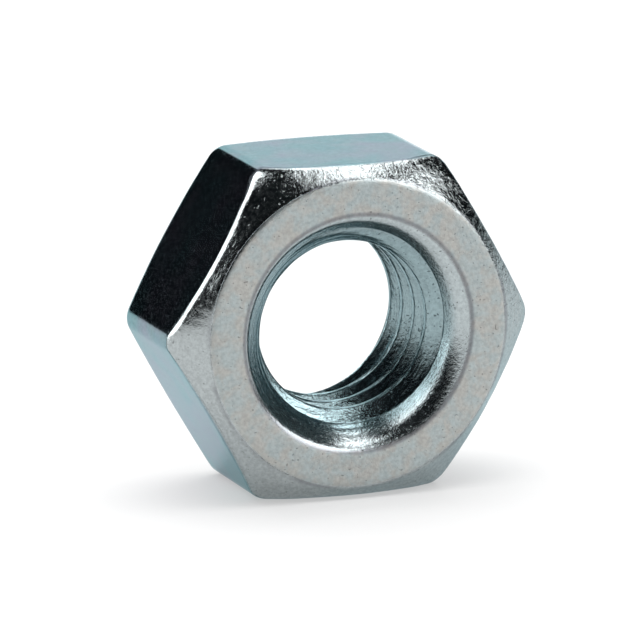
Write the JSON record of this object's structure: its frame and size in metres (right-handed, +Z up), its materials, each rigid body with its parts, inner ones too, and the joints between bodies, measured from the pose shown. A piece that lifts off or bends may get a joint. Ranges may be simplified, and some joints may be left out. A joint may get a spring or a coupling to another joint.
{
  "type": "hex nut",
  "caption": "Plain zinc-plated steel hex nut with a right-hand metric coarse thread, chamfered on both faces and standing on one of its flats.",
  "frame": {"origin": "on the thread axis, halfway through the nut", "axes": "+Y along the thread axis, away from the seen face; +Z up, square to the flat it stands on; +X through two opposite corners"},
  "size_m": [0.0148, 0.0066, 0.013],
  "materials": {
    "zinc_plated_steel": "bright blue-passivated zinc plating, satin on the faces and glossier on the flats and chamfers"
  },
  "bodies": {
    "root": {"nut": "zinc_plated_steel"}
  },
  "joints": []
}
